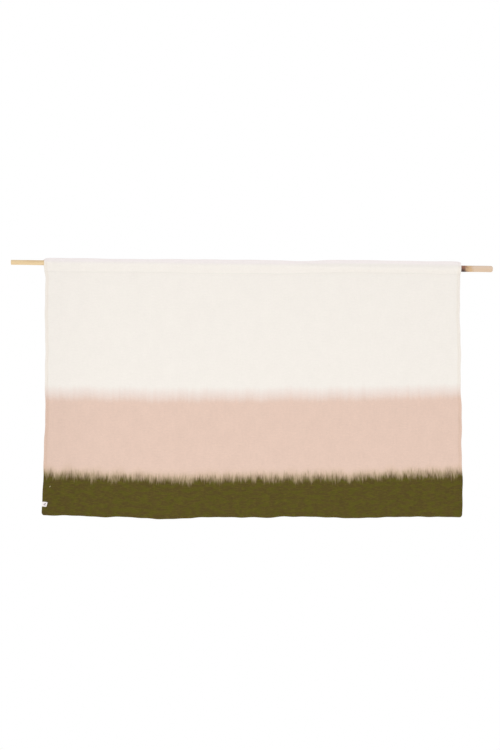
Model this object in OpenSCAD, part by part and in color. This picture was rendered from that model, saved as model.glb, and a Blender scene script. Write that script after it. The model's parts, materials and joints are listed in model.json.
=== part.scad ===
// Dip-dyed cloth wall hanging on a tapered round pole.
// The pole lies along X with its middle at the origin, the cloth hangs down -Z and faces -Y.
// Millimetres.

/* [Pole] */
// Bare length at the left of the cloth
bare_left = 130; // [40:1:300]
// Bare length at the right of the cloth
bare_right = 124; // [40:1:300]
// Diameter of the thin left end
rod_d_thin = 19.5; // [12:0.5:40]
// Diameter of the thick right end
rod_d_thick = 24.5; // [16:0.5:40]
// Bevel round the sawn left end
rod_bevel = 1; // [0.5:0.25:3]
// Rounding of the worn right end
rod_round = 5; // [1:0.5:7]
// Distance from the cloth at which each bare end becomes a true cylinder
rod_land = 5; // [2:1:20]

/* [Cloth] */
// Width of the cloth
cloth_w = 1600; // [600:10:2400]
// Drop of the panel below the sleeve
panel_h = 938; // [300:2:1800]
// Thickness of the woven cloth
cloth_t = 2; // [1:0.1:4]
// Radius of the two bottom corners
corner_r = 12; // [4:1:30]

/* [Sleeve] */
// Room between the pole's thick end and the hems inside the sleeve
rod_gap = 0.75; // [0.4:0.05:5]
// Height of the pressed top fold above the round of the sleeve
ridge_rise = 7; // [1:0.5:20]
// Height of the neck where the two layers close below the pole
neck_drop = 6; // [3:0.5:20]
// Width of the raw edge turned under inside the seam
turn_w = 8; // [5:0.5:20]
// Height of the seam above the turned edge's fold
seam_in = 3; // [1.5:0.5:4]
// Gap between sleeve and panel where the cloth bends
bend_gap = 0.4; // [0.3:0.05:1]

/* [Hems] */
// Width of the side hems
side_hem_w = 10; // [6:0.5:25]
// Height of the bottom hem
bottom_hem_h = 12; // [6:0.5:40]

/* [Stitching] */
// Width of a row of thread
thread_w = 1; // [0.5:0.1:1.5]
// Height that the thread stands above the cloth
thread_h = 0.5; // [0.2:0.05:1]
// Distance of a hem's thread from the hem's inner edge
stitch_in = 2; // [1.5:0.25:3]

/* [Label] */
// Length of the folded tape on each face of the cloth
label_w = 17; // [10:0.5:40]
// Width of the tape, up the edge of the cloth
label_h = 19; // [8:0.5:40]
// Thickness of the tape
label_t = 0.6; // [0.3:0.05:1]
// Distance that the tape's fold stands out from the edge
label_out = 2; // [1:0.25:5]
// Height of the label above the bottom edge
label_up = 30; // [25:1:200]

/* [Hidden] */
$fn = 96;
arc_steps = 4;
hair = 0.02;

// Along the pole
rod_len = bare_left + cloth_w + bare_right;
rod_end = rod_len / 2;
left_x = bare_left - rod_end;
right_x = left_x + cloth_w;
thin_r = rod_d_thin / 2;
thick_r = rod_d_thick / 2;

// Across the sleeve: the hem inside it, its inner face and its outer face
hem_r = max(thin_r, thick_r) + rod_gap;
inner_r = hem_r + cloth_t;
outer_r = inner_r + cloth_t;
ridge_z = outer_r + ridge_rise;

// The neck is three layers: front, turned edge, back
neck_y = 1.5 * cloth_t;
neck_z = -(outer_r + neck_drop);
fold_z = neck_z - turn_w;
seam_z = fold_z + seam_in;

// The panel goes on from the front layer and bends about hinge_z
panel_y = -cloth_t;
hinge_z = fold_z - bend_gap - cloth_t / 2;
bottom_z = fold_z - panel_h;
front_y = panel_y - cloth_t / 2;
hem_y = panel_y + cloth_t / 2;
back_y = hem_y + cloth_t;
hem_top_z = hinge_z - cloth_t;
label_z = bottom_z + label_up;

cream = [0.96, 0.93, 0.89];
thread_cream = [0.93, 0.9, 0.84];
olive = [0.36, 0.32, 0.15];
thread_olive = [0.4, 0.36, 0.2];
birch = [0.87, 0.77, 0.64];
tape_white = [0.95, 0.94, 0.91];

// A YZ outline carried along X
module along_x(from, to) {
    translate([from, 0, 0]) rotate([90, 0, 90]) linear_extrude(to - from) children();
}

// An XZ outline carried along Y
module along_y(from, to) {
    translate([0, to, 0]) rotate([90, 0, 0]) linear_extrude(to - from) children();
}

// Angle at which a line from p touches the circle of radius r, on the side given by 1 or -1
function touch_angle(r, p, side) = atan2(p[1], p[0]) + side * acos(r / norm(p));

function arc(r, from, to) = [
    for (i = [0:arc_steps]) let (a = from + (to - from) * i / arc_steps) [r * cos(a), r * sin(a)]
];

// One side of an outline round the pole: straight from the ridge to the round of radius r,
// round it, and straight in to the neck
function side_points(r, neck) =
    let (top = [0, ridge_z * r / outer_r])
    concat([top], arc(r, touch_angle(r, top, -1), touch_angle(r, neck, 1)), [neck]);

function mirrored(points) = [for (i = [len(points) - 1:-1:0]) [-points[i][0], points[i][1]]];

// A closed loop between two outlines round the pole
module loop(outer, inner) {
    difference() {
        polygon(concat(outer, mirrored(outer)));
        polygon(concat(inner, mirrored(inner)));
    }
}

// The panel's face, with its bottom corners rounded
module panel_outline() {
    translate([left_x, bottom_z + corner_r]) square([cloth_w, hinge_z - bottom_z - corner_r]);
    translate([left_x + corner_r, bottom_z]) square([cloth_w - 2 * corner_r, corner_r]);
    for (x = [left_x + corner_r, right_x - corner_r])
        translate([x, bottom_z + corner_r]) circle(corner_r);
}

// A row of thread on the front face and one on the back
module thread_pair(x, z, w, h) {
    along_y(front_y - thread_h, front_y) translate([x, z]) square([w, h]);
    along_y(back_y, back_y + thread_h) translate([x, z]) square([w, h]);
}

module rod() {
    color(birch) rotate([0, 90, 0]) rotate_extrude() {
        polygon([[0, -rod_end], [thin_r - rod_bevel, -rod_end], [thin_r, rod_bevel - rod_end],
                 [thin_r, left_x - rod_land], [thick_r, right_x + rod_land],
                 [thick_r, rod_end - rod_round], [0, rod_end - rod_round]]);
        translate([0, rod_end - 2 * rod_round]) square([thick_r - rod_round, 2 * rod_round]);
        intersection() {
            translate([thick_r - rod_round, rod_end - rod_round]) circle(rod_round);
            translate([0, rod_end - 2 * rod_round]) square([thick_r, 2 * rod_round]);
        }
    }
}

function toward(a, b, distance) = a + (b - a) * distance / norm(b - a);

// One layer of the sleeve, from the ridge down to the fold, on the +Y side (1) or the -Y side
// (-1). It is a row of flat strips a hair apart, each a solid of its own, so that the channel
// inside stays open to whatever is pushed through it
module sleeve_layer(side) {
    outer = concat(side_points(outer_r, [neck_y, neck_z]), [[neck_y, fold_z]]);
    inner = concat(side_points(inner_r, [cloth_t / 2, neck_z]), [[cloth_t / 2, fold_z]]);
    color(cream) for (i = [0:len(outer) - 2])
        along_x(left_x, right_x) scale([side, 1])
            polygon([toward(outer[i], outer[i + 1], hair), toward(outer[i + 1], outer[i], hair),
                     toward(inner[i + 1], inner[i], hair), toward(inner[i], inner[i + 1], hair)]);
}

module sleeve_front_layer() {
    sleeve_layer(-1);
}

module sleeve_back_layer() {
    sleeve_layer(1);
}

module sleeve_turned_edge() {
    color(cream) along_x(left_x, right_x)
        translate([-cloth_t / 2, fold_z]) square([cloth_t, turn_w]);
}

module sleeve_stitching() {
    color(thread_cream) along_x(left_x, right_x) for (y = [-neck_y - thread_h, neck_y])
        translate([y, seam_z - thread_w / 2]) square([thread_h, thread_w]);
}

// The side hem where it goes round inside the sleeve
module sleeve_hem(from, to) {
    color(cream) along_x(from, to)
        loop(side_points(inner_r, [cloth_t / 2, neck_z]),
             side_points(hem_r, [cloth_t / 4, neck_z + cloth_t]));
}

module left_sleeve_hem() {
    sleeve_hem(left_x, left_x + side_hem_w);
}

module right_sleeve_hem() {
    sleeve_hem(right_x - side_hem_w, right_x);
}

module sleeve_hem_stitching() {
    inset = side_hem_w - stitch_in;
    color(thread_cream) for (x = [left_x + inset - thread_w, right_x - inset])
        along_x(x, x + thread_w)
            loop(side_points(outer_r + thread_h, [neck_y + thread_h, neck_z]),
                 side_points(outer_r, [neck_y, neck_z]));
}

module cloth_panel() {
    color(cream) intersection() {
        along_x(left_x, right_x) {
            translate([panel_y, hinge_z]) circle(d = cloth_t);
            translate([front_y, bottom_z]) square([cloth_t, hinge_z - bottom_z]);
        }
        union() {
            along_y(front_y, hem_y) panel_outline();
            along_x(left_x, right_x) translate([panel_y, hinge_z]) circle(d = cloth_t);
        }
    }
}

// The side hem behind the panel, from one X to another
module side_hem(from, to) {
    color(cream) along_y(hem_y, back_y) intersection() {
        panel_outline();
        translate([from, bottom_z]) square([to - from, hem_top_z - bottom_z]);
    }
}

module left_side_hem() {
    side_hem(left_x, left_x + side_hem_w);
}

module right_side_hem() {
    side_hem(right_x - side_hem_w, right_x);
}

module bottom_hem() {
    color(olive) along_y(hem_y, back_y) intersection() {
        panel_outline();
        translate([left_x + side_hem_w, bottom_z])
            square([cloth_w - 2 * side_hem_w, bottom_hem_h]);
    }
}

// The left row stops where the label takes over
module left_hem_stitching() {
    x = left_x + side_hem_w - stitch_in - thread_w;
    low_z = bottom_z + corner_r;
    high_z = label_z + label_h;
    color(thread_cream) {
        thread_pair(x, low_z, thread_w, label_z - low_z);
        thread_pair(x, high_z, thread_w, hem_top_z - cloth_t - high_z);
    }
}

module right_hem_stitching() {
    x = right_x - side_hem_w + stitch_in;
    low_z = bottom_z + corner_r;
    color(thread_cream) thread_pair(x, low_z, thread_w, hem_top_z - cloth_t - low_z);
}

module bottom_hem_stitching() {
    inset = side_hem_w + stitch_in;
    z = bottom_z + bottom_hem_h - stitch_in - thread_w;
    color(thread_olive) thread_pair(left_x + inset, z, cloth_w - 2 * inset, thread_w);
}

// One tape folded round the left edge of the cloth
module woven_label() {
    color(tape_white) translate([0, 0, label_z]) linear_extrude(label_h) difference() {
        translate([left_x - label_out, front_y - label_t])
            square([label_w + label_out, back_y - front_y + 2 * label_t]);
        translate([left_x - label_out + label_t, front_y])
            square([label_w + label_out, back_y - front_y]);
    }
}

// Two rows across the tape's ends, on each face
module label_stitching() {
    x = left_x + label_w - stitch_in - thread_w;
    color(thread_cream) for (y = [front_y - label_t - thread_h, back_y + label_t])
        along_y(y, y + thread_h)
            translate([x, label_z + thread_w]) square([thread_w, label_h - 2 * thread_w]);
}

rod();
sleeve_front_layer();
sleeve_back_layer();
sleeve_turned_edge();
sleeve_stitching();
left_sleeve_hem();
right_sleeve_hem();
sleeve_hem_stitching();
cloth_panel();
left_side_hem();
right_side_hem();
bottom_hem();
left_hem_stitching();
right_hem_stitching();
bottom_hem_stitching();
woven_label();
label_stitching();
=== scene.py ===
# A dip-dyed cloth hanging on a bare wooden pole: one sheet of cloth with its hems and sleeve
# folded, sewing stitch by stitch, a folded label, and a tapered pole with a knot.
import json
import math

import bmesh
import bpy
import numpy as np
from mathutils import Matrix, Vector


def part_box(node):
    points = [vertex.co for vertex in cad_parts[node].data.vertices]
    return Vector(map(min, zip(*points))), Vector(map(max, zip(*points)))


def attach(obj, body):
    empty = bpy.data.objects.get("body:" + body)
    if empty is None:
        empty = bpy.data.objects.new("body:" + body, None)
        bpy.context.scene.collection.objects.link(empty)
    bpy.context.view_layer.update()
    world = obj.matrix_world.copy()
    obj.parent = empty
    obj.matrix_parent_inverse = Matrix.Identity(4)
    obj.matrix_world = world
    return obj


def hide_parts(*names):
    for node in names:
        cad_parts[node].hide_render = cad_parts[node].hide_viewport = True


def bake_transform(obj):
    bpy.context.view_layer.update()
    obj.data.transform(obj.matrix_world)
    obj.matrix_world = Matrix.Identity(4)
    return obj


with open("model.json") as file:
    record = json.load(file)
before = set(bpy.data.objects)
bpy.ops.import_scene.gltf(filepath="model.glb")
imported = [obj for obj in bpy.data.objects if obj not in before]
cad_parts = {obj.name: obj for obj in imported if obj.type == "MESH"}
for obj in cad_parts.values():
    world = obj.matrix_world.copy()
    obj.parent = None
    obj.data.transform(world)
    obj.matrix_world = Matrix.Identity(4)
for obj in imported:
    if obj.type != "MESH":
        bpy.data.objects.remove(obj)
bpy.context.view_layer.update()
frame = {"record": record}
scene = bpy.context.scene

# places and sizes that the frame gives, in metres
mounts = {m["name"]: m for m in frame["record"]["mounts"]}
poleLow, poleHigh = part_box("rod")
sleeveLow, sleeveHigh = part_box("sleeve_front_layer")
panelLow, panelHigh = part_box("cloth_panel")
hemLow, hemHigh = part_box("left_side_hem")
seamLow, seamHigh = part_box("sleeve_stitching")
hemRowLow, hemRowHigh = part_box("left_hem_stitching")
bottomRowLow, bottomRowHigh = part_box("bottom_hem_stitching")
labelLow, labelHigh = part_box("woven_label")
thinRadius = mounts["left_pole_end"]["dims"]["r_mm"] / 1000
thickRadius = mounts["right_pole_end"]["dims"]["r_mm"] / 1000
clothLeft = panelLow[0]
clothWidth = panelHigh[0] - panelLow[0]
clothThickness = hemHigh[1] - hemLow[1]
ridgeHeight = sleeveHigh[2]
foldHeight = sleeveLow[2]
bottomHeight = panelLow[2]
sideHemWidth = hemHigh[0] - clothLeft
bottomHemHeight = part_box("bottom_hem")[1][2] - bottomHeight
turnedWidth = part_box("sleeve_turned_edge")[1][2] - foldHeight
seamAboveFold = (seamLow[2] + seamHigh[2]) / 2 - foldHeight
hemRowIn = (hemRowLow[0] + hemRowHigh[0]) / 2 - clothLeft
bottomRowUp = (bottomRowLow[2] + bottomRowHigh[2]) / 2 - bottomHeight
print("frame loaded: cloth", round(clothWidth, 3), "wide,", round(clothThickness, 4), "thick")


# Eases from 0 to 1 as t goes from 0 to 1
def smoothStep(t):
    t = np.clip(t, 0, 1)
    return t * t * (3 - 2 * t)


def unit(v):
    return v / np.maximum(np.linalg.norm(v, axis=-1, keepdims=True), 1e-12)


# Puts points and faces into a new mesh, drops the points that no face uses, and gives it a
# map of one UV per point
def meshObject(name, points, faces, uvs=None):
    used = np.unique(np.concatenate([f.ravel() for f in faces]))
    place = np.zeros(used.max() + 1, int)
    place[used] = np.arange(len(used))
    mesh = bpy.data.meshes.new(name)
    corners = [face for group in faces for face in place[group].tolist()]
    mesh.from_pydata(points.reshape(-1, 3)[used].tolist(), [], corners)
    if uvs is not None:
        loops = np.zeros(len(mesh.loops), np.int32)
        mesh.loops.foreach_get("vertex_index", loops)
        layer = mesh.uv_layers.new(name="Cloth")
        layer.data.foreach_set("uv", uvs.reshape(-1, 2)[used][loops].astype(np.float32).ravel())
    mesh.polygons.foreach_set("use_smooth", np.ones(len(mesh.polygons), bool))
    mesh.update()
    obj = bpy.data.objects.new(name, mesh)
    scene.collection.objects.link(obj)
    return obj


# The four-cornered faces between the rows and columns of a grid, counted row by row
def gridFaces(rows, columns, wrap=False):
    r = np.arange(rows - 1)[:, None]
    c = np.arange(columns if wrap else columns - 1)[None, :]
    d = (c + 1) % columns
    return np.stack([r * columns + c, r * columns + d, (r + 1) * columns + d, (r + 1) * columns + c], -1)


# Merges the points that lie together and turns the faces outwards
def closeShell(obj, distance=1e-6):
    shell = bmesh.new()
    shell.from_mesh(obj.data)
    bmesh.ops.remove_doubles(shell, verts=shell.verts, dist=distance)
    bmesh.ops.recalc_face_normals(shell, faces=shell.faces)
    shell.to_mesh(obj.data)
    shell.free()
    return obj


# camera: straight on, rolled a little, as far off as a short telephoto lens stands
view = {
    "roll": math.radians(0.81),
    "lens": 85.0,
    "sensor": 36.0,
    "tall": 2.8875,  # height of the view at the cloth
    "centre": (-0.0013, 0.0, -0.4209),
}


def makeCamera():
    data = bpy.data.cameras.new("camera")
    data.lens = view["lens"]
    data.sensor_width = view["sensor"]
    data.clip_end = 100
    camera = bpy.data.objects.new("camera", data)
    scene.collection.objects.link(camera)
    c, s = math.cos(view["roll"]), math.sin(view["roll"])
    across, up, back = Vector((c, 0, s)), Vector((-s, 0, c)), Vector((0, -1, 0))
    place = Matrix((across, up, back)).transposed().to_4x4()
    place.translation = Vector(view["centre"]) + back * (view["lens"] / view["sensor"] * view["tall"])
    camera.matrix_world = place
    scene.camera = camera


makeCamera()
print("camera placed")


# cloth: one sheet, flat coordinates s across from its left edge and l up from its bottom edge
cloth = {
    "gap": 0.0003,          # between two folded layers
    "poleGap": 0.0003,      # between the cloth and the pole that it rests on
    "ridgeRadius": 0.0024,  # of the pressed fold on top
    "ease": 0.012,          # run over which the cloth rises over its own hems
    "cornerRadius": 0.0085,
    "plumb": math.tan(view["roll"]),  # the cloth hangs plumb while the pole slopes by this
    "hitchAt": 0.215,       # the sleeve has ridden up to the right of here
    "hitchOver": 0.24,
    "ridgeRise": -0.0047,             # of the ridge's left end against the frame's
    "shoulder": 0.0040,               # how far the ridge falls off at its ends
    "seamRise": (-0.0043, 0.0067),    # against the frame's, left and right of the hitch
    "bottomRise": (-0.0042, 0.0126),  # and at the two ends of the bottom edge
    "sags": (  # depth, centre and half width of the places where the bottom edge hangs low
        (0.0120, -0.333, 0.14),
        (0.0045, -0.573, 0.06),
        (0.0050, -0.043, 0.11),
        (0.0040, 0.062, 0.03),
        (0.0058, 0.387, 0.12),
    ),
    "tuck": (0.0036, 0.0054),  # the panel's sides stand in from the sleeve's ends by these
    "leftFlare": 0.0130,
    "rightFlare": 0.0114,
    "edgeWave": 0.0011,
    "backSkew": 0.0045,     # the sleeve's back lies this far further left at its left end
    "pucker": 0.00080,      # how far the sleeve's seam is drawn in
    "stepWide": 0.0092,     # spacing of the grid in the open cloth
    "stepFine": 0.0024,     # and near edges and seams
}
halfPitch = (clothThickness + cloth["gap"]) / 2  # from a folded layer's middle to its fold's axis
frontY = -2 * halfPitch
panelDrop = foldHeight + seamAboveFold - bottomHeight


# Rises from 0 at the left end to 1 at the right, mostly over the hitch
def hitch(x):
    step = smoothStep((x - cloth["hitchAt"]) / cloth["hitchOver"] + 0.5)
    return 0.72 * step + 0.28 * smoothStep(x / 1.7 + 0.5)


def riseOf(pair, x):
    return pair[0] + (pair[1] - pair[0]) * hitch(x)


# 1 over the side hems, easing to 0 beyond them
def endShare(s):
    edge = np.minimum(s, clothWidth - s)
    return smoothStep((sideHemWidth + cloth["ease"] - edge) / cloth["ease"])


# The ridge's height: it climbs over two stretches, dips between them and drops at the ends
def ridgeLine(x):
    climb = 0.0031 * smoothStep((x + 0.5) / 0.4) + 0.0048 * smoothStep((x - 0.2) / 0.14)
    dip = -0.0022 * np.exp(-(((x - 0.165) / 0.05) ** 2))
    wave = 0.0004 * np.sin(x * 17.0 + 0.4) + 0.0004 * np.sin(x * 41.0 + 2.0)
    shoulder = np.minimum(x - clothLeft, clothLeft + clothWidth - x)
    drop = cloth["shoulder"] * np.exp(-np.maximum(shoulder, 0) / 0.007)
    return ridgeHeight + cloth["ridgeRise"] + climb + dip + wave - drop


def seamLine(x):
    wave = 0.0006 * np.sin(x * 13.0 + 1.0) + 0.0003 * np.sin(x * 37.0)
    return foldHeight + seamAboveFold + riseOf(cloth["seamRise"], x) + wave


# The bottom edge's height: a straight rise to the right, less the sags, with a fine ripple.
# Over the corners' extra layers it lies higher, so that their wider fold ends level
def bottomLine(x):
    low, high = cloth["bottomRise"]
    z = bottomHeight + halfPitch + clothThickness / 2 + low + (high - low) * (x - clothLeft) / clothWidth
    for depth, centre, width in cloth["sags"]:
        z = z - depth * np.exp(-(((x - centre) / width) ** 2))
    ripple = 0.0005 * np.sin(x * 61.0 + 0.7) + 0.0005 * np.sin(x * 97.0 + 2.0)
    return z + ripple + 2 * halfPitch * endShare(x - clothLeft)


# Soft upright flutes that grow from nothing at the seam to a few millimetres at the bottom,
# and side edges that curl forwards
def drape(s, down):
    broad = 0.0042 * down ** 1.4 * np.sin(s * 9.7 + 0.6 + 0.5 * down)
    middle = 0.0026 * down ** 1.2 * np.sin(s * 17.3 + 2.1 - 0.8 * down)
    narrow = 0.0009 * down ** 0.9 * np.sin(s * 33.0 + 4.0)
    pocket = 0.0015 * np.sin(down * math.pi) * np.sin(s * 3.1 + 1.0)
    curl = 0.0022 * down * (np.exp(-s / 0.035) + np.exp(-(clothWidth - s) / 0.03))
    return broad + middle + narrow + pocket - curl


# How far the side edges stand out: they draw in below the pole, flare towards the bottom and
# waver. Above the seam, down is negative
def edgeShift(s, down):
    share = s / clothWidth
    wave = cloth["edgeWave"] * np.sin(down * 23.0 + 0.6) + 0.0006 * np.sin(down * 61.0)
    wave = wave * smoothStep(down / 0.03)
    tuck = smoothStep((down + 0.017) / 0.045)
    left = cloth["tuck"][0] * tuck - cloth["leftFlare"] * smoothStep((down - 0.55) / 0.5) + wave
    right = cloth["rightFlare"] * np.maximum(down, 0) - cloth["tuck"][1] * tuck + wave * 1.3
    return left * (1 - share) ** 4 + right * share ** 4


# Draws a square bottom corner in to a quarter ellipse, as a square is mapped to a disc. The
# square reaches past the sheet's edges by as much as the side and bottom folds stand out
def roundCorner(s, l):
    r = cloth["cornerRadius"]
    wide, tall = r + halfPitch, r + 3 * halfPitch
    mirror = s > clothWidth / 2
    t = np.where(mirror, clothWidth - s, s)
    a = np.clip((r - t) / wide, 0, 1)
    b = np.clip((r - l) / tall, 0, 1)
    inside = (a > 0) & (b > 0)
    inward = np.where(inside, r - wide * a * np.sqrt(1 - b * b / 2), t)
    up = np.where(inside, r - tall * b * np.sqrt(1 - a * a / 2), l)
    return np.where(mirror, clothWidth - inward, inward), up


# The panel's middle surface: z between the bottom line and the seam line, y by the drape,
# x by the flare and by hanging plumb from a sloping pole
def panelPoint(s, l, rounded=True):
    s, l = np.broadcast_arrays(s, l)
    if rounded:
        s, l = roundCorner(s, l)
    down = np.clip(1 - l / panelDrop, 0, 1.02)
    low, high = bottomLine(clothLeft + s), seamLine(clothLeft + s)
    z = high + (low - high) * down
    x = clothLeft + s + edgeShift(s, down) + cloth["plumb"] * (high - z)
    return np.stack([x, frontY + drape(s, down), z], -1)


# One half of the sleeve's outline at each s, from the neck out along a tangent to the pole,
# round the pole, up along a tangent to the ridge's small arc and to its top: rows of (y, z)
def sleeveHalf(s, neckY):
    x = clothLeft + s
    stack = 2 * halfPitch * endShare(s)
    onPole = np.interp(x, [clothLeft, clothLeft + clothWidth], [thinRadius, thickRadius])
    onPole = onPole + cloth["poleGap"] + clothThickness / 2 + stack
    small = cloth["ridgeRadius"] + stack
    peak = ridgeLine(x) - clothThickness / 2 - small
    neckZ = seamLine(x) + 0.0016
    lean = np.arctan2(neckY, -neckZ)
    lowAngle = math.pi - lean - np.arccos(np.clip(onPole / np.hypot(neckY, neckZ), -1, 1))
    topAngle = np.arccos(np.clip((onPole - small) / peak, -1, 1))

    def at(radius, angle, up=0.0):
        return np.stack([radius * np.sin(angle), radius * np.cos(angle) + up], -1)

    def along(start, end, count):
        t = np.linspace(0, 1, count)[1:, None, None]
        return start + (end - start) * t

    neck = np.stack([neckY + 0 * x, neckZ], -1)
    wrap = lowAngle + (topAngle - lowAngle) * np.linspace(0, 1, 10)[1:, None]
    crest = topAngle * (1 - np.linspace(0, 1, 6)[1:, None])
    parts = [
        np.stack([neckY + 0 * x, seamLine(x)], -1)[None],
        neck[None],
        along(neck, at(onPole, lowAngle), 8),
        at(onPole, wrap),
        along(at(onPole, topAngle), at(small, topAngle, peak), 6),
        at(small, crest, peak),
    ]
    return np.concatenate(parts)


# The whole sleeve at each s: up the front, over the ridge, down the back to the fold. Rows of
# points, softened a little where straight and round meet
def sleeveRows(s):
    front = sleeveHalf(s, 2 * halfPitch) * np.array([-1.0, 1.0])
    behind = sleeveHalf(s, 2 * halfPitch * (1 + endShare(s)))
    rows = np.concatenate([front, behind[-2::-1]])
    for _ in range(3):
        rows[1:-1] = rows[:-2] * 0.25 + rows[1:-1] * 0.5 + rows[2:] * 0.25
    below = rows[-1] - np.array([0.0, 1.0]) * (seamAboveFold * np.linspace(0, 1, 4)[1:, None, None])
    rows = np.concatenate([rows, below])
    part = np.linspace(0, 1, len(rows))[:, None]
    turned = smoothStep((part - 0.44) / 0.3) * (1 - 0.8 * smoothStep((part - 0.74) / 0.2))
    under = (seamLine(clothLeft + s) - rows[..., 1]) / panelDrop
    x = clothLeft + s + edgeShift(s, under) - cloth["backSkew"] * turned * (1 - s / clothWidth) ** 4
    return np.concatenate([x[..., None], rows], -1)


# Length along the rows, from the bottom edge up
def lengthAlong(rows):
    steps = np.linalg.norm(np.diff(rows, axis=0), axis=-1)
    return panelDrop + np.concatenate([0 * steps[:1], np.cumsum(steps, 0)])


# How far the thread draws the cloth in at the seam, front and back
def pucker(s, l, backSeam):
    pull = cloth["pucker"] * (1 + 0.4 * np.sin(s * 210.0) * np.sin(s * 37.0 + 1.0) + 0.2 * np.sin(s * 95.0))
    return pull * (np.exp(-(((l - panelDrop) / 0.0034) ** 2)) + np.exp(-(((l - backSeam) / 0.0034) ** 2)))


# The middle surface at any (s, l): the panel below the seam, and above it the sleeve, found
# between the rows of that column by length
def clothPoint(s, l, rounded=True):
    s, l = [a.astype(float) for a in np.broadcast_arrays(s, l)]
    flatS, flatL = s.ravel(), l.ravel()
    rows = sleeveRows(flatS)
    reach = lengthAlong(rows)
    i = np.clip((reach < flatL).sum(0) - 1, 0, len(rows) - 2)
    n = np.arange(len(flatS))
    t = np.clip((flatL - reach[i, n]) / (reach[i + 1, n] - reach[i, n]), 0, 1)[:, None]
    sleeve = rows[i, n] + (rows[i + 1, n] - rows[i, n]) * t
    panel = panelPoint(flatS, flatL, rounded)
    return np.where((flatL < panelDrop)[:, None], panel, sleeve).reshape(s.shape + (3,))


# Directions on the cloth at (s, l): across, upward along the cloth, and inward, which is the
# panel's back and the sleeve's inside
def clothDirections(s, l, nudge=2e-4):
    across = unit(clothPoint(s + nudge, l, False) - clothPoint(s - nudge, l, False))
    upward = unit(clothPoint(s, l + nudge, False) - clothPoint(s, l - nudge, False))
    return across, upward, unit(np.cross(upward, across))


# Marks from 0 to a length, close together near both ends
def spaced(length, reach=0.03):
    marks = [0.0]
    while marks[-1] < length:
        near = min(marks[-1], length - marks[-1])
        marks.append(marks[-1] + cloth["stepFine"]
                     + (cloth["stepWide"] - cloth["stepFine"]) * float(smoothStep(near / reach)))
    return np.array(marks) * (length / marks[-1])


# Columns across the cloth: s, depth behind the front layer and reach past the edge. The hem
# lies behind, the fold turns half a circle of radius halfPitch, and the open cloth runs between
def clothColumns():
    turn = np.linspace(math.pi, 0, 7)[1:-1]
    hem = np.linspace(sideHemWidth, 0, 6)
    open_ = spaced(clothWidth)
    s = np.concatenate([hem, 0 * turn, open_, clothWidth + 0 * turn, clothWidth - hem[::-1]])
    depth = halfPitch * (1 - np.cos(turn))
    depth = np.concatenate([0 * hem + 2 * halfPitch, depth, 0 * open_, depth[::-1], 0 * hem + 2 * halfPitch])
    out = halfPitch * np.sin(turn)
    out = np.concatenate([0 * hem, -out, 0 * open_, out[::-1], 0 * hem])
    return s, depth, out


# The sheet's middle surface, row by row: the bottom hem folded up behind, the panel, the
# sleeve, and its raw edge turned up between the layers
def makeCloth():
    s, sideDepth, sideOut = clothColumns()
    up = spaced(panelDrop, 0.06)[:-1]
    sleeve = sleeveRows(s)
    along = np.concatenate([np.broadcast_to(up[:, None], (len(up), len(s))), lengthAlong(sleeve)])
    grid = np.concatenate([panelPoint((s + sideOut)[None, :], up[:, None]), sleeve])
    square = np.concatenate([panelPoint(s[None, :], up[:, None], False), sleeve])
    step = unit(np.diff(square, axis=0))
    upward = unit(np.concatenate([step[:1], step[:-1] + step[1:], step[-1:]]))
    nudge = 2e-4
    aside = sleeveRows(s + nudge) - sleeveRows(s - nudge)
    below = panelPoint(s + nudge, up[:, None], False) - panelPoint(s - nudge, up[:, None], False)
    across = unit(np.concatenate([below, aside]))
    inward = unit(np.cross(upward, across))
    outward = across * sideOut[None, :, None]
    outward[:len(up)] = 0
    draw = pucker(s[None, :], along, along[-1:] - seamAboveFold)
    body = grid + inward * (sideDepth[None, :] + draw)[..., None] + outward

    # bottom hem: round its fold, then up behind every layer that is there already
    axis = halfPitch * (1 + 2 * endShare(s))
    reach = axis - sideDepth
    turn = np.linspace(0, math.pi, 8)[1:, None]
    foldRows = panelPoint(s + sideOut, -reach * np.sin(turn))
    foldRows = foldRows + inward[:1] * (axis - reach * np.cos(turn))[..., None]
    climb = np.linspace(0, bottomHemHeight, 7)[1:, None]
    hemRows = panelPoint(s + sideOut, climb) + inward[:1] * (axis + reach)[None, :, None]
    hem = np.concatenate([foldRows, hemRows])[::-1]
    hemAlong = np.concatenate([0.0004 * turn, 0.0012 + climb])[::-1] + 0 * s

    # the sleeve's raw edge: round the fold and up between the layers
    turn = np.linspace(0, math.pi, 7)[1:, None]
    foldRows = (grid[-1:] + inward[-1:] * (halfPitch * (1 - np.cos(turn)))[..., None]
                + upward[-1:] * (halfPitch * np.sin(turn))[..., None])
    climb = np.linspace(0, turnedWidth, 5)[1:, None]
    edgeRows = grid[-1:] + inward[-1:] * (2 * halfPitch) - upward[-1:] * climb[..., None]
    edge = np.concatenate([foldRows, edgeRows])
    edgeAlong = along[-1:] + np.concatenate([halfPitch * turn, halfPitch * math.pi + climb])

    points = np.concatenate([hem, body, edge])
    lengths = np.concatenate([hemAlong, along, edgeAlong])
    faces = gridFaces(*points.shape[:2])
    keep = np.ones(faces.shape[:2], bool)
    inset = (np.minimum(s, clothWidth - s) < sideHemWidth + 0.001) | (sideDepth > 0)
    keep[len(hem) + len(body) - 1:] = ~(inset[:-1] | inset[1:])[None, :]
    uvs = np.stack([s + 0 * lengths, lengths], -1)
    obj = meshObject("hangingCloth", points, [faces[keep]], uvs)
    wall = obj.modifiers.new("thickness", "SOLIDIFY")
    wall.thickness = clothThickness
    wall.offset = 0
    flatWidth = clothWidth + 2 * (sideHemWidth + math.pi * halfPitch)
    flatLength = float(lengths.max() - lengths.min()) + bottomHemHeight + math.pi * halfPitch
    print("cloth: grid", points.shape[:2], "flat", round(flatWidth, 3), round(flatLength, 3))
    return obj, (flatWidth, flatLength), float(along[-1].mean()) - seamAboveFold


clothObject, clothFlat, backSeamAt = makeCloth()


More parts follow.
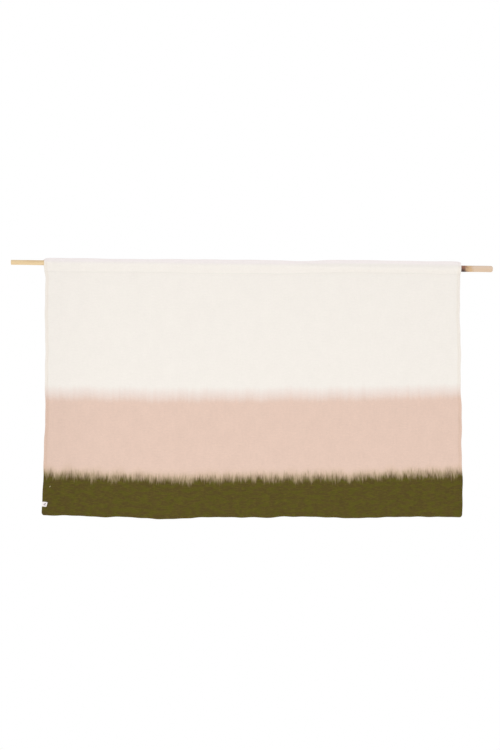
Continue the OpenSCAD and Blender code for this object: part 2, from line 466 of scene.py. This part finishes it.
# sewing: every stitch is a small spindle that lies on the cloth and dips in at both ends
sewing = {
    "pitch": 0.0046,
    "long": 0.0034,
    "radius": 0.00042,
    "lift": 0.00022,
    "sides": 6,
    "stations": (-0.62, 0.0, 0.62),
    "girths": (0.8, 1.0, 0.8),
    "fromSeam": 0.004,   # where the rows up the sides stop, each side of a seam
    "fromHem": 0.002,    # and short of the bottom hem and the label
    "seamEnds": 0.002,   # where the seam's rows begin, in from the cloth's sides
    "bottomEnds": 0.004,
}


# A row of stitches between start and end points: each ring of a stitch is centred on the
# straight line from start to end, raised along the normal by a parabola
def stitchMesh(name, starts, ends, normals, uvs):
    n = len(starts)
    station = np.array((-1.0,) + sewing["stations"] + (1.0,))
    girth = np.array((0.0,) + sewing["girths"] + (0.0,)) * sewing["radius"]
    turn = np.arange(sewing["sides"]) * 2 * math.pi / sewing["sides"]
    middle = (starts + ends) / 2
    half = (ends - starts) / 2
    normal = unit(normals)
    sideways = unit(np.cross(half, normal))
    raised = sewing["lift"] * (1 - 2 * station ** 2)
    centre = middle[:, None] + half[:, None] * station[None, :, None]
    centre = centre + normal[:, None] * raised[None, :, None]
    ring = sideways[:, None] * np.cos(turn)[None, :, None] + normal[:, None] * np.sin(turn)[None, :, None]
    points = centre[:, 1:-1, None] + ring[:, None] * girth[None, 1:-1, None, None]
    count = len(sewing["stations"]) * sewing["sides"]
    points = np.concatenate([points.reshape(n, count, 3), centre[:, :1], centre[:, -1:]], 1)
    quads = gridFaces(len(sewing["stations"]), sewing["sides"], True).reshape(-1, 4)
    k = np.arange(sewing["sides"])
    after = (k + 1) % sewing["sides"]
    last = count - sewing["sides"]
    startCap = np.stack([k * 0 + count, after, k], -1)
    endCap = np.stack([last + k, last + after, k * 0 + count + 1], -1)
    offset = (np.arange(n) * (count + 2))[:, None, None]
    faces = [(quads + offset).reshape(-1, 4)]
    faces += [(cap + offset).reshape(-1, 3) for cap in (startCap, endCap)]
    uvs = np.repeat(uvs[:, None], count + 2, 1)
    return closeShell(meshObject(name, points, faces, uvs), 1e-8)


# Runs of stitches on the cloth. Each run is (s, l) at both ends, and how deep they lie
def sewRow(name, runs):
    starts, ends, normals, uvs = [], [], [], []
    for (s0, l0), (s1, l1), depth in runs:
        count = max(1, int(round(math.hypot(s1 - s0, l1 - l0) / sewing["pitch"])))
        share = sewing["long"] / sewing["pitch"] / count / 2
        t = (np.arange(count) + 0.5) / count
        middleS, middleL = s0 + (s1 - s0) * t, l0 + (l1 - l0) * t
        inward = clothDirections(middleS, middleL)[2]
        out = -inward if depth < 0 else inward
        draw = pucker(middleS, middleL, backSeamAt)[:, None] if depth < 0 else 0
        for group, sign in ((starts, -share), (ends, share)):
            place = clothPoint(s0 + (s1 - s0) * (t + sign), l0 + (l1 - l0) * (t + sign))
            group.append(place + inward * (depth + draw))
        normals.append(out)
        uvs.append(np.stack([middleS, middleL], -1))
    return stitchMesh(name, *[np.concatenate(g) for g in (starts, ends, normals, uvs)])


onFront = -clothThickness / 2
onHem = 2 * halfPitch + clothThickness / 2
rightRow = clothWidth - hemRowIn
rowTop = panelDrop - sewing["fromSeam"]
rowFoot = bottomHemHeight + sewing["fromHem"]
labelUp = (labelLow[2] - bottomHeight, labelHigh[2] - bottomHeight)
belowLabel, aboveLabel = labelUp[0] - sewing["fromHem"], labelUp[1] + sewing["fromHem"]
sleeveFirst, sleeveLast = panelDrop + sewing["fromSeam"], backSeamAt - sewing["fromSeam"]
seamEnd = sewing["seamEnds"]
bottomEnd = sewing["bottomEnds"]
bottomInset = sideHemWidth + cloth["ease"]

seamStitches = sewRow("seamStitches", [
    ((seamEnd, panelDrop), (clothWidth - seamEnd, panelDrop), onFront),
    ((seamEnd, backSeamAt), (clothWidth - seamEnd, backSeamAt), onFront),
])
sleeveHemStitches = sewRow("sleeveHemStitches", [
    ((hemRowIn, sleeveFirst), (hemRowIn, sleeveLast), onFront),
    ((rightRow, sleeveFirst), (rightRow, sleeveLast), onFront),
])
leftHemStitches = sewRow("leftHemStitches", [
    ((hemRowIn, rowFoot), (hemRowIn, belowLabel), onFront),
    ((hemRowIn, aboveLabel), (hemRowIn, rowTop), onFront),
    ((hemRowIn, rowFoot), (hemRowIn, belowLabel), onHem),
    ((hemRowIn, aboveLabel), (hemRowIn, rowTop), onHem),
])
rightHemStitches = sewRow("rightHemStitches", [
    ((rightRow, rowFoot), (rightRow, rowTop), onFront),
    ((rightRow, rowFoot), (rightRow, rowTop), onHem),
])
bottomHemStitches = sewRow("bottomHemStitches", [
    ((bottomEnd, bottomRowUp), (clothWidth - bottomEnd, bottomRowUp), onFront),
    ((bottomInset, bottomRowUp), (clothWidth - bottomInset, bottomRowUp), onHem),
])
print("sewing done")


# label: a short tape folded round the left edge, leaning a little
label = {
    "thickness": 0.0006,
    "inside": 0.0165,    # how far it lies on the cloth
    "lean": 0.0021,      # of its inner end, from the middle of its height to its top
    "slope": -0.08,      # of its top and bottom edges
    "clear": 0.0003,
    "stitchIn": 0.002,   # from the tape's ends to its stitches
    "stitchEdge": 0.0015,
    "stitchGap": 0.0008,
    "dashes": ((0.0045, 0.0115), (0.0060, 0.0130), (0.0045, 0.0100)),  # each runs from and to here
    "dashFoot": 0.0064,  # height of the lowest dash, and the step up to the next
    "dashStep": 0.0032,
    "dashHalf": 0.0009,
}
labelReach = halfPitch + clothThickness / 2 + label["clear"] + label["thickness"] / 2


# The tape's middle surface: t runs along it from its front end to its back end, h up it. The
# two leaves lie flat and half a circle joins them round the cloth's fold
def labelPoint(t, h):
    middle = (labelUp[0] + labelUp[1]) / 2
    leaf = label["inside"] + label["lean"] * (h - middle) / ((labelUp[1] - labelUp[0]) / 2)
    bend = math.pi * labelReach
    total = 2 * leaf + bend
    run = t * total
    angle = np.clip((run - leaf) / labelReach, 0, math.pi)
    s = np.where(run < leaf, leaf - run, np.where(run > leaf + bend, run - leaf - bend, 0))
    depth = halfPitch - labelReach * np.cos(angle)
    l = h + label["slope"] * s
    across, upward, inward = clothDirections(0 * s, l)
    place = clothPoint(s, l) + inward * depth[..., None]
    return place - across * (labelReach * np.sin(angle))[..., None], run


def makeLabel():
    leaf = np.linspace(0, 0.40, 9)[:-1]
    t = np.concatenate([leaf, np.linspace(0.40, 0.60, 13), 1 - leaf[::-1]])
    h = np.linspace(labelUp[0], labelUp[1], 9)
    points, run = labelPoint(*np.meshgrid(t, h))
    uvs = np.stack([run, np.broadcast_to((h - h[0])[:, None], run.shape)], -1)
    obj = meshObject("foldedLabel", points, [gridFaces(*run.shape).reshape(-1, 4)], uvs)
    wall = obj.modifiers.new("thickness", "SOLIDIFY")
    wall.thickness = label["thickness"]
    wall.offset = 0
    return obj, float(run.max())


labelObject, labelLength = makeLabel()


# A row of stitches up each leaf, near its end
def makeLabelStitches():
    h = np.linspace(labelUp[0] + label["stitchEdge"], labelUp[1] - label["stitchEdge"], 9)
    h0, h1 = h[:-1] + label["stitchGap"] / 2, h[1:] - label["stitchGap"] / 2
    starts, ends, normals = [], [], []
    for t, side in ((label["stitchIn"] / labelLength, -1), (1 - label["stitchIn"] / labelLength, 1)):
        inward = clothDirections(0 * h0 + label["inside"], (h0 + h1) / 2)[2] * side
        for group, height in ((starts, h0), (ends, h1)):
            group.append(labelPoint(t + 0 * height, height)[0] + inward * label["thickness"] / 2)
        normals.append(inward)
    uvs = np.zeros((2 * len(h0), 2))
    return stitchMesh("labelStitches", *[np.concatenate(g) for g in (starts, ends, normals)], uvs)


labelStitches = makeLabelStitches()
print("label made")


# pole: tapered, sawn square at the left and worn round at the right
pole = {
    "shy": 0.00022,      # how far its mean radius keeps inside the true taper
    "bevel": 0.0009,
    "round": 0.0065,
    "around": 96,
    "along": 340,
    "knotX": 0.8165,
    "knotLong": 0.0085,
    "knotBump": 0.0005,
}


# The radius at x and turn about the axis: the taper, less a hair for the unevenness left by
# shaving, and the knot's low swelling
def poleRadius(x, turn):
    r = np.interp(x, [clothLeft, clothLeft + clothWidth], [thinRadius, thickRadius])
    uneven = 0.00012 * np.sin(x * 23 + 2 * turn) + 0.00010 * np.sin(x * 57 + 1.3 + 3 * turn)
    knot = np.exp(-((x - pole["knotX"]) / pole["knotLong"]) ** 2) * (0.6 - 0.4 * np.cos(turn))
    return r - pole["shy"] + uneven + pole["knotBump"] * knot * (x > clothLeft + clothWidth + 0.002)


# The outline from the middle of the sawn end, over its bevel, along the pole and in over the
# rounded end, turned about the axis
def makePole():
    left, right, b, r = poleLow[0], poleHigh[0], pole["bevel"], pole["round"]
    bevelTurn = np.linspace(0, math.pi / 2, 5)[1:]
    roundTurn = np.linspace(0, math.pi / 2, 10)[1:]
    body = np.linspace(left + b, right - r, pole["along"])[1:]
    x = np.concatenate([np.full(5, left), left + b * (1 - np.cos(bevelTurn)), body,
                        right - r * (1 - np.sin(roundTurn)), np.full(4, right)])[:, None]
    thin, thick = b / thinRadius, r / thickRadius
    inset = np.concatenate([np.linspace(1, thin, 5), thin * (1 - np.sin(bevelTurn)), 0 * body,
                            thick * (1 - np.cos(roundTurn)), np.linspace(thick, 1, 5)[1:]])
    turn = np.linspace(0, 2 * math.pi, pole["around"], endpoint=False)[None, :]
    radius = poleRadius(x, turn) * (1 - inset[:, None])
    points = np.stack(np.broadcast_arrays(x, radius * np.sin(turn), radius * np.cos(turn)), -1)
    return closeShell(meshObject("woodenPole", points, [gridFaces(*points.shape[:2], True).reshape(-1, 4)]))


poleObject = makePole()
print("pole made")


# A link stands for one socket of a shader, so that shader maths is written as expressions
class Link:
    def __init__(self, tree, socket=None):
        self.tree = tree
        self.socket = socket

    # Adds a node of a kind, its settings first and then its sockets, by name or number
    def add(self, kind, settings=None, sockets=None, output=0):
        node = self.tree.nodes.new("ShaderNode" + kind)
        for name, value in (settings or {}).items():
            setattr(node, name, value)
        for name, value in (sockets or {}).items():
            if isinstance(value, Link):
                self.tree.links.new(value.socket, node.inputs[name])
            else:
                node.inputs[name].default_value = value
        return Link(self.tree, node.outputs[output])

    # A Math node of this socket and others
    def maths(self, operation, *values):
        return self.add("Math", {"operation": operation}, dict(enumerate((self,) + values)))

    def __add__(self, other):
        return self.maths("ADD", other)

    def __sub__(self, other):
        return self.maths("SUBTRACT", other)

    def __rsub__(self, other):
        return self.add("Math", {"operation": "SUBTRACT"}, {0: other, 1: self})

    def __mul__(self, other):
        return self.maths("MULTIPLY", other)

    __radd__ = __add__
    __rmul__ = __mul__

    # 0 at low, 1 at high, eased between
    def ramp(self, low, high):
        settings = {"interpolation_type": "SMOOTHSTEP"}
        return self.add("MapRange", settings, {"Value": self, "From Min": low, "From Max": high})

    # 1 within a width either side of a place, easing to 0 over soft
    def band(self, place, width, soft):
        away = (self - place).maths("ABSOLUTE")
        return 1 - away.ramp(width, width + soft)

    # The colour that is first where this mask is 0 and second where it is 1
    def between(self, first, second):
        return self.add("Mix", {"data_type": "RGBA"}, {0: self, 6: first, 7: second}, 2)

    # This colour, going over to another where the mask is 1
    def blend(self, other, mask):
        return mask.between(self, other)

    # This colour made lighter or darker
    def scaled(self, amount):
        return self.add("VectorMath", {"operation": "SCALE"}, {0: self, "Scale": amount})

    # Noise with so many blotches to a metre each way
    def noise(self, perX, perY, perZ=1.0, detail=2.0, shift=(0.0, 0.0, 0.0)):
        place = self.add("Mapping", {}, {"Vector": self, "Scale": (perX, perY, perZ), "Location": shift})
        return place.add("TexNoise", {}, {"Vector": place, "Scale": 1.0, "Detail": detail})


def axesOf(vector):
    split = vector.add("SeparateXYZ", {}, {0: vector})
    return [Link(split.tree, socket) for socket in split.socket.node.outputs]


def newMaterial(name):
    material = bpy.data.materials.new(name)
    material.use_nodes = True
    material.node_tree.nodes.clear()
    return material, Link(material.node_tree)


# Ends a material with its shader, and with a bump where height is given
def finishMaterial(kit, sockets, height=None, distance=0.0003, strength=1.0):
    if height is not None:
        bump = {"Height": height, "Strength": strength, "Distance": distance}
        sockets["Normal"] = kit.add("Bump", {}, bump)
    shader = kit.add("BsdfPrincipled", {}, sockets)
    output = kit.tree.nodes.new("ShaderNodeOutputMaterial")
    kit.tree.links.new(shader.socket, output.inputs["Surface"])


light = {
    "sky": 1.0,
    "key": 39.0,          # watts
    "keySize": 2.2,
    "keyPlace": (-0.2, -3.3, -2.1),
    "keyAim": (0.0, 0.0, -0.35),
    "keyColour": (1.0, 0.985, 0.95),
    "floor": (-2.3, 6.0, -7.0, 1.9),  # its height, half its width, and where it begins and ends
    "floorGlow": 0.12,    # keeps the floor as pale as the sky behind it
    "gain": 1.10,         # light on the cloth against a white surface under the sky alone
}


# A screen colour from 0 to 255 as the linear reflectance that looks so in this light
def paint(r, g, b, gain=None):
    c = np.array([r, g, b]) / 255
    c = np.where(c <= 0.04045, c / 12.92, ((c + 0.055) / 1.055) ** 2.4) / (gain or light["gain"])
    return tuple(float(v) for v in np.clip(c, 0, 1)) + (1.0,)


dye = {
    "cream": (242.8, 237.8, 231.4),
    "creamShade": (239, 231, 221),
    "crest": (249, 241, 241),       # painted light: the cream drawn paler and pinker over the pressed fold's curve
    "pink": (226.5, 199, 184),
    "pinkShade": (219, 190, 172),
    "pinkEdge": (236, 221, 216),    # the lilac tint where it fades
    "halo": (205, 177, 146),        # the tan edge that the olive drives ahead of it
    "haze": (166, 150, 108),        # and the thin brown dye just above its edge
    "olive": (86, 80, 26),
    "oliveBrown": (84, 71, 32),
    "oliveGold": (98, 88, 32),
    "pinkLine": (0.4688, 0.0165),   # height at the left, and what it gains to the right
    "oliveLine": (0.158, -0.029, 0.022),   # height over s, as a quadratic
    "slub": (200, 190, 150),
    "slubAt": (0.025, 0.110),       # where one undyed slub shows
    "leftShade": 0.035,             # painted shade: the cloth is drawn this much darker at its left edge, where less light reaches it
}


# The dyed colour at (s, l), with painted light over the pressed fold and painted shade at the left edge, and
# how strongly it is mottled.
# Each front is a height over s; the olive's is broken up by noise drawn out upwards, as dye wicks along the
# yarns
def dyeAndPaintedLight(uv):
    s, l, _ = axesOf(uv)
    edge = s.maths("MINIMUM", clothWidth - s)
    hemShade = 1 - edge.ramp(0.009, 0.014)
    slow = uv.noise(9, 2, shift=(3.0, 0.0, 0.0))
    hump = uv.noise(26, 6, detail=1.0, shift=(0.0, 2.0, 0.0))
    streak = uv.noise(70, 5, detail=3.0)
    wick = uv.noise(64, 13, detail=2.0, shift=(0.0, 5.0, 0.0))
    strand = uv.noise(185, 24, detail=2.0, shift=(2.0, 0.0, 0.0))
    fine = uv.noise(430, 42, detail=2.0)

    start, gain = dye["pinkLine"]
    share = s * (1 / clothWidth)
    pinkLine = share * share * share * share * gain + start
    above = l - pinkLine + (slow - 0.5) * 0.016 + (streak - 0.5) * 0.022
    pinkMask = 1 - above.ramp(-0.034, 0.036)
    tint = above.band(0.004, 0.006, 0.03)

    a, b, c = dye["oliveLine"]
    past = l - (s * (s * c + b) + a) + (slow - 0.5) * 0.012 + (hump - 0.5) * 0.040
    halo = 1 - past.ramp(-0.004, 0.046)
    broken = past + (wick - 0.5) * 0.032 + (strand - 0.5) * 0.036 + (fine - 0.5) * 0.036
    oliveMask = 1 - broken.ramp(-0.022, 0.023)
    haze = 1 - (past + (strand - 0.5) * 0.03 + (wick - 0.5) * 0.02).ramp(-0.006, 0.034)

    colour = (hemShade * 0.5).between(paint(*dye["cream"]), paint(*dye["creamShade"]))
    # painted light over the pressed fold: the cream drawn paler and pinker along the sleeve's top
    crest = l.band((panelDrop + backSeamAt) / 2, 0.010, 0.016)
    colour = colour.blend(paint(*dye["crest"]), crest * 0.8)
    pink = (hemShade * 0.5).between(paint(*dye["pink"]), paint(*dye["pinkShade"]))
    colour = colour.blend(pink, pinkMask)
    colour = colour.blend(paint(*dye["pinkEdge"]), tint * 0.30)
    colour = colour.blend(paint(*dye["halo"]), halo * 0.50)
    colour = colour.blend(paint(*dye["haze"]), haze * hump.ramp(0.30, 0.62) * 0.55)
    patch = uv.noise(30, 60, detail=4.0)
    spot = uv.noise(60, 330, detail=3.0, shift=(7.0, 0.0, 0.0))
    olive = patch.ramp(0.42, 0.62).between(paint(*dye["oliveBrown"]), paint(*dye["olive"]))
    olive = olive.blend(paint(*dye["oliveGold"]), spot.ramp(0.46, 0.72) * 0.8)
    colour = colour.blend(olive, oliveMask)
    slubS, slubL = dye["slubAt"]
    along = (s - slubS) * 0.5 + (l - slubL) * 0.85
    aside = (s - slubS) * 0.85 - (l - slubL) * 0.5
    slub = along.band(0.0, 0.002, 0.002) * aside.band(0.0, 0.0006, 0.001)
    colour = colour.blend(paint(*dye["slub"]), slub * 0.9)
    # painted shade: darker towards the left edge, more over the pink than over the cream
    leftPaintedShade = (1 - s.ramp(0.0, 0.25)) * (pinkMask * 0.6 + 0.4) * dye["leftShade"]
    colour = colour.scaled(1 - leftPaintedShade)
    return colour, oliveMask * 0.9 + pinkMask * 0.4 + 0.35


# Plain weave of slubby yarn: crossed sine waves give over and under, and noise drawn out along
# each yarn gives its thick and thin places. Returns the height and its parts
def weaveHeight(uv, pitch=0.0016):
    s, l, _ = axesOf(uv)
    turns = math.pi / pitch
    sway = uv.noise(60, 60, detail=1.0) * 0.0012
    warp = ((s + sway) * turns).maths("SINE")
    weft = ((l + sway) * turns).maths("SINE")
    slubs = uv.noise(22, 640, detail=2.0)
    lengthwise = uv.noise(640, 16, detail=2.0)
    over = warp * weft
    hollow = (warp.maths("ABSOLUTE")).maths("MINIMUM", weft.maths("ABSOLUTE"))
    return over * 0.5 + hollow * 0.7 + slubs * 1.5 + lengthwise * 1.2, slubs, lengthwise, hollow


def makeClothMaterial():
    material, kit = newMaterial("dyedCloth")
    uv = kit.add("UVMap", {"uv_map": "Cloth"}, {})
    colour, depth = dyeAndPaintedLight(uv)
    height, slubs, lengthwise, hollow = weaveHeight(uv)
    grain = uv.noise(420, 420, detail=3.0)
    mottle = uv.noise(24, 18, detail=3.0)
    blotch = uv.noise(90, 150, detail=2.0, shift=(0.0, 9.0, 0.0))
    # the yarns' own tone from slubs, grain, mottle and blotches, with painted shade of the weave from
    # hollow: darker in the gaps between the yarns, lighter over their tops
    mottleAndWeaveShade = (slubs - 0.5) * 0.12 + (lengthwise - 0.5) * 0.10 + (hollow - 0.42) * 0.16
    mottleAndWeaveShade = (mottleAndWeaveShade + (grain - 0.5) * 0.16 + (mottle - 0.5) * 0.12 + (blotch - 0.5) * 0.16) * depth
    sockets = {
        "Base Color": colour.scaled(1 + mottleAndWeaveShade),
        "Roughness": 0.88,
        "Specular IOR Level": 0.12,
        "Sheen Weight": 0.03,
        "Sheen Roughness": 0.5,
    }
    finishMaterial(kit, sockets, height, 0.0005, 0.6)
    return material


def makeThreadMaterial():
    material, kit = newMaterial("dyedThread")
    uv = kit.add("UVMap", {"uv_map": "Cloth"}, {})
    colour, _ = dyeAndPaintedLight(uv)
    place = kit.add("TexCoord", {}, {}, 3)
    ply = place.noise(1500, 1500, 1500)
    sockets = {
        "Base Color": colour.scaled((ply - 0.5) * 0.2 + 0.88),
        "Roughness": 0.6,
        "Specular IOR Level": 0.35,
        "Sheen Weight": 0.05,
    }
    finishMaterial(kit, sockets, ply, 0.0001, 0.6)
    return material


# Ribbed tape with a few short woven dashes
def makeTapeMaterial():
    material, kit = newMaterial("labelTape")
    uv = kit.add("UVMap", {"uv_map": "Cloth"}, {})
    run, up, _ = axesOf(uv)
    dashes = None
    for row, (start, end) in enumerate(label["dashes"]):
        long_ = run.band((start + end) / 2, (end - start) / 2, 0.0003)
        height = label["dashFoot"] + row * label["dashStep"]
        mark = long_ * up.band(height, label["dashHalf"], 0.0003)
        dashes = mark if dashes is None else dashes.maths("MAXIMUM", mark)
    ribs = (up * (2 * math.pi / 0.0007)).maths("SINE")
    threads = uv.noise(900, 2500)
    colour = (threads * 0.5).between(paint(246, 240, 240), paint(228, 216, 218))
    colour = colour.blend(paint(78, 66, 82), dashes)
    sockets = {"Base Color": colour, "Roughness": 0.7, "Specular IOR Level": 0.3, "Sheen Weight": 0.05}
    finishMaterial(kit, sockets, ribs * 0.3 + threads * 0.6, 0.00012, 0.6)
    return material


def makeLabelThreadMaterial():
    material, kit = newMaterial("labelThread")
    place = kit.add("TexCoord", {}, {}, 3)
    ply = place.noise(1500, 1500, 1500)
    colour = ply.between(paint(196, 184, 178), paint(232, 224, 218))
    sockets = {"Base Color": colour, "Roughness": 0.6, "Specular IOR Level": 0.35}
    finishMaterial(kit, sockets, ply, 0.0001, 0.6)
    return material


wood = {
    "left": (229, 203, 160),
    "right": (222, 198, 176),
    "vein": (205, 172, 128),
    "knotTop": (150, 104, 84),
    "knotFoot": (70, 50, 44),
    "rim": (158, 116, 84),
    "gold": (203, 164, 112),
    "ring": (200, 172, 150),
    "end": (214, 186, 146),
    # painted shade along the top edge of the pole's right end
    "topEdgeShade": (188, 160, 138),
    # bands along x: place, half width and softness
    "knotAt": (0.8090, 0.0060, 0.0120),
    "rimAt": (0.8140, 0.0080, 0.0140),
    "goldAt": (0.8360, 0.0080, 0.0080),
    "ringAt": (0.8510, 0.0008, 0.0020),
    # where painted shade darkens the top of the left end, next to the sleeve
    "sleeveShadeAt": (-0.8200, 0.0300, 0.0500),
}


# Pale shaved wood: long fine veins, the knot with its dark foot, the end grain's rings, and painted shade
# along the top of both exposed ends
def makeWoodMaterial():
    material, kit = newMaterial("poleWood")
    place = kit.add("TexCoord", {}, {}, 3)
    x, y, z = axesOf(place)
    grain = place.noise(5, 260, 260, detail=4.0)
    broad = place.noise(2.2, 60, 60, detail=2.0, shift=(4.0, 0.0, 0.0))
    pores = place.noise(60, 1100, 1100, detail=2.0)
    colour = x.ramp(-0.8, 0.75).between(paint(*wood["left"]), paint(*wood["right"]))
    colour = colour.blend(paint(*wood["vein"]), grain.ramp(0.56, 0.74) * 0.35)
    colour = colour.blend(paint(*wood["vein"]), broad.ramp(0.5, 0.72) * 0.25)
    # painted shade: the top of the left end darkened next to the sleeve, in the vein colour
    colour = colour.blend(paint(*wood["vein"]), z.ramp(-0.002, 0.009) * x.band(*wood["sleeveShadeAt"]) * 0.55)
    # painted shade: a darker line along the top of the right end
    colour = colour.blend(paint(*wood["topEdgeShade"]), z.ramp(0.0098, 0.0122) * x.ramp(0.78, 0.80) * 0.55)
    swirl = place.noise(70, 70, 70, detail=1.0, shift=(0.0, 6.0, 0.0))
    warp = (swirl - 0.5) * 0.016 + (grain - 0.5) * 0.004 + z * 0.22
    facing = 1 - y.ramp(-0.004, 0.007)
    knotColour = z.ramp(-0.011, 0.008).between(paint(*wood["knotFoot"]), paint(*wood["knotTop"]))
    colour = colour.blend(paint(*wood["gold"]), (x + warp).band(*wood["goldAt"]) * (facing * 0.4 + 0.22))
    knot = (x + warp).band(*wood["knotAt"]) * facing
    colour = colour.blend(paint(*wood["rim"]), (x + warp * 1.6).band(*wood["rimAt"]) * facing * 0.70)
    colour = colour.blend(knotColour, knot)
    colour = colour.blend(paint(*wood["knotFoot"]), knot * swirl.ramp(0.50, 0.66) * 0.45)
    colour = colour.blend(paint(*wood["ring"]), (x + warp).band(*wood["ringAt"]) * 0.35)
    offCentre = ((y - 0.002) * (y - 0.002) + (z + 0.0015) * (z + 0.0015)).maths("SQRT")
    rings = ((offCentre + (broad - 0.5) * 0.004) * (2 * math.pi / 0.0013)).maths("SINE")
    endMask = (x.maths("ABSOLUTE")).ramp(poleHigh[0] - 0.0012, poleHigh[0] - 0.0004)
    colour = colour.blend(paint(*wood["end"]), endMask * 0.7)
    colour = colour.blend(paint(*wood["vein"]), endMask * rings.ramp(0.2, 1.0) * 0.45)
    sockets = {
        "Base Color": colour.scaled(1 + (pores - 0.5) * 0.10),
        "Roughness": (grain - 0.5) * 0.12 + 0.56,
        "Specular IOR Level": 0.35,
    }
    finishMaterial(kit, sockets, grain * 0.7 + pores * 0.5, 0.00025, 0.5)
    return material


clothMaterial = makeClothMaterial()
threadMaterial = makeThreadMaterial()
pieces = (
    (clothObject, clothMaterial, "woven_cloth"),
    (seamStitches, threadMaterial, "sewing_thread"),
    (sleeveHemStitches, threadMaterial, "sewing_thread"),
    (leftHemStitches, threadMaterial, "sewing_thread"),
    (rightHemStitches, threadMaterial, "sewing_thread"),
    (bottomHemStitches, threadMaterial, "olive_thread"),
    (labelObject, makeTapeMaterial(), "label_tape"),
    (labelStitches, makeLabelThreadMaterial(), "sewing_thread"),
    (poleObject, makeWoodMaterial(), "pole_wood"),
)
for piece, material, slotName in pieces:
    piece.data.materials.append(material)
print("materials made")


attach(poleObject, "rod")
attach(seamStitches, "sleeve")
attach(sleeveHemStitches, "sleeve")
for piece in (clothObject, leftHemStitches, rightHemStitches):
    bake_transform(piece)
for piece in (bottomHemStitches, labelObject, labelStitches):
    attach(piece, "panel")
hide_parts("rod")
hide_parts("sleeve_front_layer", "sleeve_back_layer", "sleeve_turned_edge", "left_sleeve_hem",
            "right_sleeve_hem", "cloth_panel", "left_side_hem", "right_side_hem", "bottom_hem")
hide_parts("sleeve_stitching")
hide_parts("sleeve_hem_stitching")
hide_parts("left_hem_stitching")
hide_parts("right_hem_stitching")
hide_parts("bottom_hem_stitching")
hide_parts("woven_label")
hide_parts("label_stitching")
print("pieces ride on their bodies")


# room: an even white sky, a soft key light and a pale floor well below
def makeRoom():
    world = bpy.data.worlds.new("sky")
    world.use_nodes = True
    world.node_tree.nodes["Background"].inputs["Color"].default_value = (1, 1, 1, 1)
    world.node_tree.nodes["Background"].inputs["Strength"].default_value = light["sky"]
    scene.world = world
    key = bpy.data.lights.new("key", "AREA")
    key.energy = light["key"]
    key.size = light["keySize"]
    key.color = light["keyColour"]
    keyObject = bpy.data.objects.new("key", key)
    scene.collection.objects.link(keyObject)
    keyObject.location = light["keyPlace"]
    aim = Vector(light["keyAim"]) - Vector(light["keyPlace"])
    keyObject.rotation_euler = aim.to_track_quat("-Z", "Y").to_euler()
    z, side, near, far = light["floor"]
    corners = np.array([(-side, near, z), (side, near, z), (side, far, z), (-side, far, z)])
    floor = meshObject("floor", corners, [np.array([[0, 1, 2, 3]])])
    material, kit = newMaterial("paleFloor")
    place = kit.add("TexCoord", {}, {}, 3)
    speckle = place.noise(60, 60, 60, detail=3.0)
    pale = speckle.between(paint(241, 240, 238, 1), paint(247, 246, 244, 1))
    sockets = {
        "Base Color": pale,
        "Roughness": 0.8,
        "Emission Color": (1.0, 1.0, 1.0, 1.0),
        "Emission Strength": light["floorGlow"],
    }
    finishMaterial(kit, sockets)
    floor.data.materials.append(material)


makeRoom()
scene.view_settings.view_transform = "Standard"
print("room lit")
